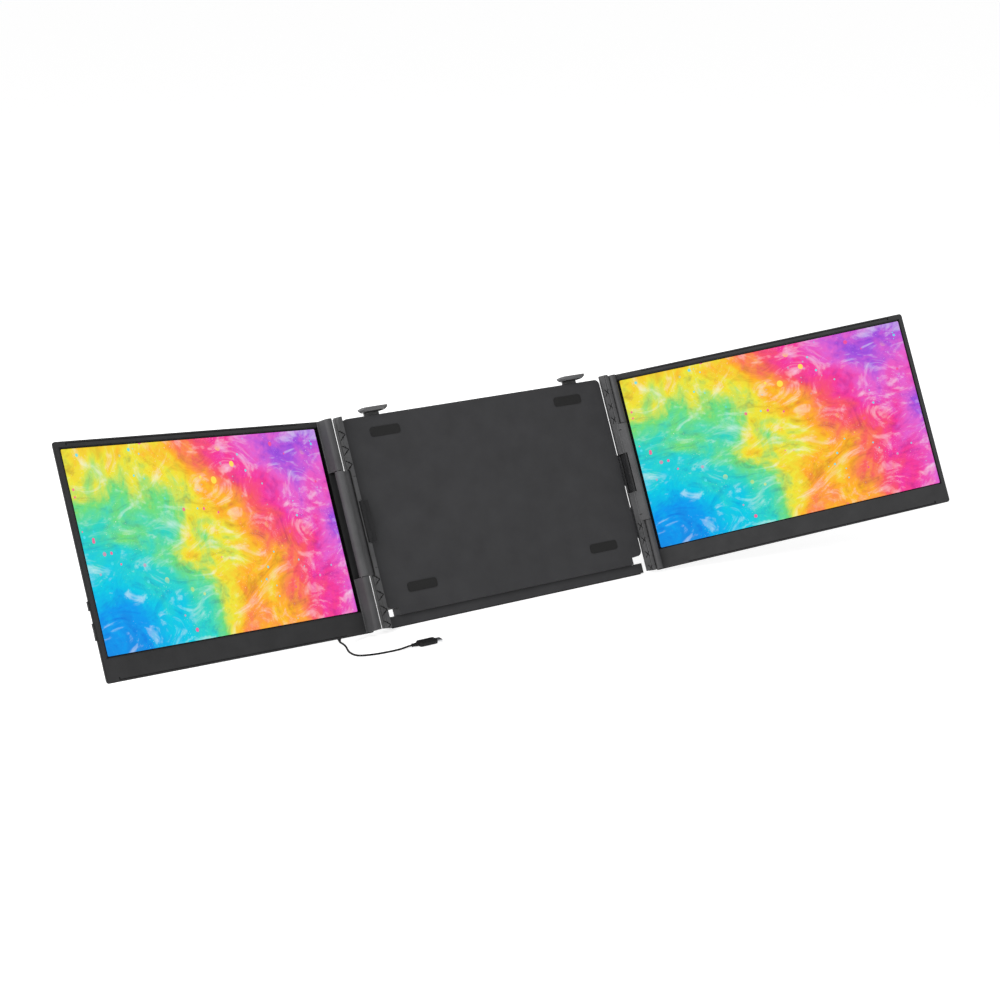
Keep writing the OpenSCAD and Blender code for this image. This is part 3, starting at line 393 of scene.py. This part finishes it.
def display_finish(side):
    """Lit panel under an anti-glare film: the picture, a black line round it and a grey border."""
    s = SCREENS[side]
    g = Graph(side + "_display_panel")
    place = g.object_place()
    edge = s.reach if side == "right" else s.reach + PICTURE_W
    corner = s.at(edge, s.lift + DISPLAY_DEPTH, CHIN)
    across = s.out() * s.sign
    rel = g.vec("SUBTRACT", place, tuple(corner))
    x = g.math("MULTIPLY", g.vec("DOT_PRODUCT", rel, tuple(across), out=1), 1000)
    z = g.math("MULTIPLY", g.vec("DOT_PRODUCT", rel, tuple(UP), out=1), 1000)
    u = g.math("DIVIDE", x, PICTURE_W)
    v = g.math("DIVIDE", z, PICTURE_H)
    face = g.vec("DOT_PRODUCT", rel, tuple(across.cross(UP)), out=1)
    # Lit area: a rectangle with slightly rounded corners
    low, high = LIT[side]
    past = []
    for value, a, b in ((x, low[0], high[0]), (z, low[1], high[1])):
        off = g.math("ABSOLUTE", g.math("SUBTRACT", value, (a + b) / 2))
        past.append(g.math("MAXIMUM", g.math("SUBTRACT", off, (b - a) / 2 - LIT_R), 0.0))
    squares = [g.math("MULTIPLY", value, value) for value in past]
    inside = g.math("MULTIPLY", g.math("LESS_THAN", g.math("ADD", *squares), LIT_R * LIT_R),
                    g.math("LESS_THAN", g.math("ABSOLUTE", face), FACE_WITHIN))
    art = paint_clouds(g, u, v)
    # Printed border outside the black line round the picture, on all but the hinge side
    above = g.math("GREATER_THAN", z, high[1] + BLACK_LINE)
    below = g.math("LESS_THAN", z, low[1] - BLACK_LINE)
    if side == "left":
        beside = g.math("LESS_THAN", x, low[0] - BLACK_LINE)
    else:
        beside = g.math("GREATER_THAN", x, high[0] + BLACK_LINE)
    border = g.math("MAXIMUM", g.math("MAXIMUM", above, below), beside)
    black = g.mix(g.noise(place, 60, 2), rgba(BLACK_INK, 0.8), rgba(BLACK_INK, 1.2))
    g.put(g.bsdf.inputs["Base Color"], g.mix(border, black, GREY_INK))
    g.put(g.bsdf.inputs["Emission Color"], g.mix(inside, (0, 0, 0, 1), art))
    g.bsdf.inputs["Emission Strength"].default_value = 1.0
    film = g.noise(place, 3000, 1, 0.5)
    g.put(g.bsdf.inputs["Roughness"], g.scale(film, 0.3, 0.7, 0.34, 0.42))
    g.bsdf.inputs["Specular IOR Level"].default_value = 0.1
    g.put(g.bsdf.inputs["Normal"], g.bump(film, 0.05, 0.00002))
    return g.mat


# Both bezels are the same plastic; the right one is painted lighter, as if it stood in more light
BEZEL_TONES_RIGHT_LIT = {"left": 0.0335, "right": 0.0385}
SHELL = plastic("shell_plastic", (0.03, 0.03, 0.032), 0.55)
BEZEL = {side: plastic(side + "_bezel_plastic_side_lit", (tone, tone, tone + 0.001), 0.52, grain=0.3, shine=0.1,
                       wear=0.1, shade_and_lines=bezel_shade_and_lines(side)) for side, tone in BEZEL_TONES_RIGHT_LIT.items()}
BACK = plastic("screen_back_plastic", (0.015, 0.015, 0.016), 0.5, grain=0.35, shine=0.22)
# Columns, lugs and clip get strong painted shade in their grooves, slots and corners
COLUMN = plastic("column_plastic", (0.072, 0.072, 0.074), 0.6, grain=0.4, edge=0.0005, spread=0.2,
                 cells=1500, shine=0.25, recess_shade=1.0, reach=0.003)
LUG = plastic("lug_plastic", (0.056, 0.056, 0.058), 0.55, edge=0.0005, shine=0.25, recess_shade=0.85, reach=0.005)
HOOK = plastic("hook_plastic", (0.085, 0.085, 0.087), 0.32, grain=0.15, edge=0.0006, shine=0.5)
# Painted shade darkens the clip most where it lies in its slot
CLIP = plastic("clip_plastic", (0.016, 0.016, 0.017), 0.5, grain=0.2, shine=0.22, recess_shade=0.95, reach=0.005)
GUIDE = plastic("guide_plastic", (0.3, 0.3, 0.31), 0.45)
BUTTON = plastic("button_plastic", (0.016, 0.016, 0.017), 0.35, grain=0.15, edge=0.0002)
MOULD = plastic("moulded_plug", (0.0075, 0.0075, 0.008), 0.45, grain=0.2, edge=0.0003, shine=0.18)
SCREW = metal("black_screw", (0.05, 0.05, 0.052), 0.35)
STAND = metal("stand_anodised", (0.06, 0.061, 0.065), 0.42, along=(40, 1, 1))
STEEL = metal("bright_steel", (0.62, 0.63, 0.65), 0.26)
DARK_STEEL = metal("dark_steel", (0.1, 0.1, 0.105), 0.4)
PLATE = metal("slide_plate", (0.2, 0.2, 0.21), 0.4, along=(1, 40, 40))
PAD = rubber("pad_rubber")
CORD = rubber("cord_rubber", (0.003, 0.003, 0.0032), 0.6)
LIGHT = plastic("backlight_white", (0.8, 0.82, 0.85), 0.4, grain=0.1)
BOARD = board_finish("green_board")

FINISH = {
    "centre_frame": SHELL, "rear_cover": SHELL, "lid_pads": PAD, "slide_guides": GUIDE,
    "joining_board": BOARD, "foot_strip": PAD, "cover_screws": SCREW, "stand_brackets": STEEL,
    "stand_pins": STEEL, "stand": STAND, "stand_foot": PAD, "hook": HOOK, "hook_pad": PAD,
    "upper_column": COLUMN, "lower_column": COLUMN, "hinge_block": COLUMN, "slide_plates": PLATE,
    "hinge_shafts": DARK_STEEL, "torque_washers": DARK_STEEL, "clip": CLIP, "clip_pad": PAD,
    "clip_pin": STEEL, "hinge_lugs": LUG, "backlight": LIGHT, "screen_back": BACK,
    "driver_board": BOARD, "ports": STEEL, "power_button": BUTTON, "menu_rocker": BUTTON,
    "back_screws": SCREW, "strain_relief": PAD, "cord": PAD, "cord_plug": PAD, "plug_tip": STEEL}


def finish(obj, mat):
    """Gives a piece one material in place of those it has."""
    obj.data.materials.clear()
    obj.data.materials.append(mat)


for name, obj in NODES.items():
    side, _, base = name.partition("_") if name.startswith(("left_", "right_")) else ("", "", name)
    if base == "display":
        finish(obj, display_finish(side))
        obj.visible_diffuse = False     # no glow of the picture on the pieces beside it
    elif base == "bezel":
        finish(obj, BEZEL[side])
    else:
        finish(obj, FINISH[base])

# ------------------------------------------------------------------ cord
# The route's points, as in part.scad: [across, forward, share of the exit's height, share of the plug's]
CORD_R = 0.001
PLUG_H = 0.0052
LEFT = SCREENS["left"]
RELIEF_END = 3     # how far the strain relief stands out below the screen
port = LEFT.at(EXIT_X, LEFT.lift + EXIT_DEPTH, -RELIEF_END)
ROUTE = [(0, 0, 1, 0), (0.5, -1.4, 0.9, 0), (1.3, -3.4, 0.76, 0), (1.9, -6.4, 0.55, 0),
         (1.6, -9.6, 0.36, 0), (0.6, -13, 0.19, 0), (-0.6, -17, 0.07, 0), (-1.4, -21.4, 0, 0),
         (-1.7, -26, 0, 0), (-1.1, -30.6, 0, 0), (0.9, -34, 0, 0), (3.6, -36, 0, 0), (7, -37.6, 0, 0),
         (11, -38.9, 0, 0), (15.8, -40.1, 0, 0), (21, -41, 0, 0), (26.6, -41.6, 0, 0), (32.4, -42, 0, 0),
         (38.6, -42.3, 0, 0), (44.6, -42.5, 0, 0.14), (50, -42.6, 0, 0.5), (54.6, -42.6, 0, 0.86),
         (58.8, -42.6, 0, 1)]
path = [Vector((port.x + p[0] / 1000, port.y + p[1] / 1000,
                CORD_R + p[2] * (port.z - CORD_R) + p[3] * (PLUG_H / 2 - CORD_R))) for p in ROUTE]
curve = bpy.data.curves.new("signal_cord", "CURVE")
curve.dimensions = "3D"
curve.bevel_depth = CORD_R
curve.bevel_resolution = 5
curve.resolution_u = 6
spline = curve.splines.new("POLY")
spline.points.add(len(path) - 1)
for point, at in zip(spline.points, path):
    point.co = (*at, 1)
cord = bpy.data.objects.new("signal_cord", curve)
bpy.context.scene.collection.objects.link(cord)
curve.materials.append(CORD)
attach(cord, "left_screen")
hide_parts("cord")


def loft(name, rings, mat, body, origin, along, side):
    """A lofted piece. A ring is (distance along, half width, half height, squareness); mm, about origin."""
    along, side = Vector(along).normalized(), Vector(side).normalized()
    up_way = along.cross(side)
    count = 40      # points on a ring
    verts, faces = [], []
    for x, a, b, n in rings:
        for k in range(count):
            t = math.tau * k / count
            c, s = math.cos(t), math.sin(t)
            y = a * math.copysign(abs(c) ** (2 / n), c)
            z = b * math.copysign(abs(s) ** (2 / n), s)
            verts.append(Vector(origin) + (along * x + side * y + up_way * z) / 1000)
    for i in range(len(rings) - 1):
        for k in range(count):
            j = (k + 1) % count
            faces.append((i * count + k, i * count + j, (i + 1) * count + j, (i + 1) * count + k))
    faces += [tuple(range(count))[::-1], tuple((len(rings) - 1) * count + k for k in range(count))]
    mesh = bpy.data.meshes.new(name)
    mesh.from_pydata([tuple(v) for v in verts], [], faces)
    mesh.update()
    for polygon in mesh.polygons:
        polygon.use_smooth = len(polygon.vertices) == 4
    mesh.materials.append(mat)
    obj = bpy.data.objects.new(name, mesh)
    bpy.context.scene.collection.objects.link(obj)
    split = obj.modifiers.new("edges", "EDGE_SPLIT")
    split.split_angle = math.radians(40)
    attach(obj, body)
    return obj


# Plug: a bead, a ribbed boot and a moulded grip in one overmould
ribs = [(0, 1.1), (0.15, 1.7), (0.4, 1.85), (1.3, 1.85), (1.5, 1.6), (1.55, 1.3), (2.2, 1.35)]
for i in range(4):
    x, r = 2.2 + 1.35 * i, 1.75 + 0.16 * i
    ribs += [(x + 0.08, r - 0.1), (x + 0.2, r), (x + 0.75, r + 0.03), (x + 0.87, r - 0.07),
             (x + 0.92, r - 0.38), (x + 1.3, r - 0.34)]
rings = [(x, r, r, 2) for x, r in ribs]
rings += [(7.75, 2.5, 1.9, 2.2), (7.9, 4.2, 2.05, 2.8), (8.05, 4.75, 2.3, 3.4), (8.5, 5.1, 2.48, 3.8),
          (9.3, 5.26, 2.57, 4.2), (10.4, 5.3, 2.6, 4.4), (13, 5.3, 2.6, 4.4), (13.15, 5.2, 2.5, 4.4),
          (13.5, 5.2, 2.5, 4.4), (13.65, 5.3, 2.6, 4.4), (24, 5.3, 2.6, 4.4), (26.8, 5.26, 2.57, 4.4),
          (27.6, 5.12, 2.46, 4.2), (27.95, 4.85, 2.2, 4), (28, 4.5, 1.9, 4)]
PLUG_AT = path[-1]
overmould = loft("plug_overmould", rings, MOULD, "left_screen", PLUG_AT, (1, 0, 0), (0, 1, 0))
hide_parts("cord_plug")
# The metal shell turns back into itself at the tip, so it is hollow there
SHELL_RINGS = [(27.6, 4.15, 1.25, 3), (34.3, 4.15, 1.25, 3), (34.5, 4.1, 1.2, 3), (34.6, 4.0, 1.1, 3),
               (34.55, 3.85, 0.95, 3), (34.3, 3.8, 0.9, 3), (29, 3.8, 0.9, 3)]
shell = loft("plug_shell", SHELL_RINGS, STEEL, "left_screen", PLUG_AT, (1, 0, 0), (0, 1, 0))
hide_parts("plug_tip")
TONGUE_RINGS = [(28.9, 3.3, 0.34, 5), (33.6, 3.3, 0.34, 5), (33.9, 3.15, 0.2, 5)]
tongue = loft("plug_tongue", TONGUE_RINGS, BUTTON, "left_screen", PLUG_AT, (1, 0, 0), (0, 1, 0))

# Strain relief at the cord's hole: tapered, with three rings; (distance below the screen, radius)
RELIEF = ((-9.8, 2.15), (0.15, 2.15), (0.4, 2.05), (0.45, 1.45), (0.8, 1.42), (0.85, 1.6), (1.2, 1.54),
          (1.25, 1.26), (1.6, 1.24), (1.65, 1.4), (2.05, 1.34), (2.1, 1.14), (2.45, 1.12), (2.5, 1.2),
          (2.9, 1.14), (RELIEF_END, 1.04))
relief = loft("cord_relief", [(x, r, r, 2) for x, r in RELIEF],
              PAD, "left_screen", LEFT.at(EXIT_X, LEFT.lift + EXIT_DEPTH, 0), -UP, LEFT.out())
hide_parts("strain_relief")

# Dark tongues inside the port shells of both screens
for side, s in SCREENS.items():
    for i, (x, w) in enumerate(PORTS):
        half = w / 2 - 1.2
        loft(f"{side}_port_tongue_{i + 1}", [(-10.4, half, 0.36, 5), (-4.6, half, 0.36, 5),
                                             (-4.4, half - 0.1, 0.25, 5)],
             BUTTON, f"{side}_screen", s.at(x, s.lift + EXIT_DEPTH, 0), -UP, s.out())

# ------------------------------------------------------------------ floor, light and colour
floor_mesh = bpy.data.meshes.new("floor")
FAR = 25     # floor's half width (m)
floor_mesh.from_pydata([(-FAR, -FAR, 0), (FAR, -FAR, 0), (FAR, FAR, 0), (-FAR, FAR, 0)], [], [(0, 1, 2, 3)])
floor = bpy.data.objects.new("floor", floor_mesh)
bpy.context.scene.collection.objects.link(floor)
pale = Graph("floor_pale")
pale.bsdf.inputs["Base Color"].default_value = (0.8, 0.8, 0.8, 1)
pale.bsdf.inputs["Roughness"].default_value = 0.9
pale.bsdf.inputs["Emission Color"].default_value = (1, 1, 1, 1)
pale.bsdf.inputs["Emission Strength"].default_value = 0.58
floor_mesh.materials.append(pale.mat)

# The world lights the part at half strength, but the camera sees it white like the floor
world = bpy.data.worlds.new("studio")
bpy.context.scene.world = world
world.use_nodes = True
soft = world.node_tree.nodes["Background"]
soft.inputs[0].default_value = (1, 1, 1, 1)
soft.inputs[1].default_value = 0.5
seen = world.node_tree.nodes.new("ShaderNodeBackground")
seen.inputs[0].default_value = (1, 1, 1, 1)
either = world.node_tree.nodes.new("ShaderNodeMixShader")
links = world.node_tree.links
links.new(world.node_tree.nodes.new("ShaderNodeLightPath").outputs["Is Camera Ray"], either.inputs[0])
links.new(soft.outputs[0], either.inputs[1])
links.new(seen.outputs[0], either.inputs[2])
links.new(either.outputs[0], world.node_tree.nodes["World Output"].inputs[0])


def area_light(name, at, aim, size, power):
    """A soft rectangular lamp at a place, turned to a point."""
    lamp = bpy.data.lights.new(name, "AREA")
    lamp.shape = "RECTANGLE"
    lamp.size, lamp.size_y = size
    lamp.energy = power
    obj = bpy.data.objects.new(name, lamp)
    bpy.context.scene.collection.objects.link(obj)
    obj.location = at
    obj.rotation_euler = (Vector(aim) - Vector(at)).to_track_quat("-Z", "Y").to_euler()


area_light("key_light", (-1.9, -1.0, 1.8), (0, 0, 0.1), (1.6, 1.2), 35)
area_light("left_light", (-2.4, -0.3, 0.7), (0.1, 0, 0.12), (1.0, 1.0), 31)
area_light("back_light", (0.2, 1.8, 1.9), (0, 0, 0.1), (2.0, 0.9), 20)
bpy.context.scene.view_settings.view_transform = "Standard"
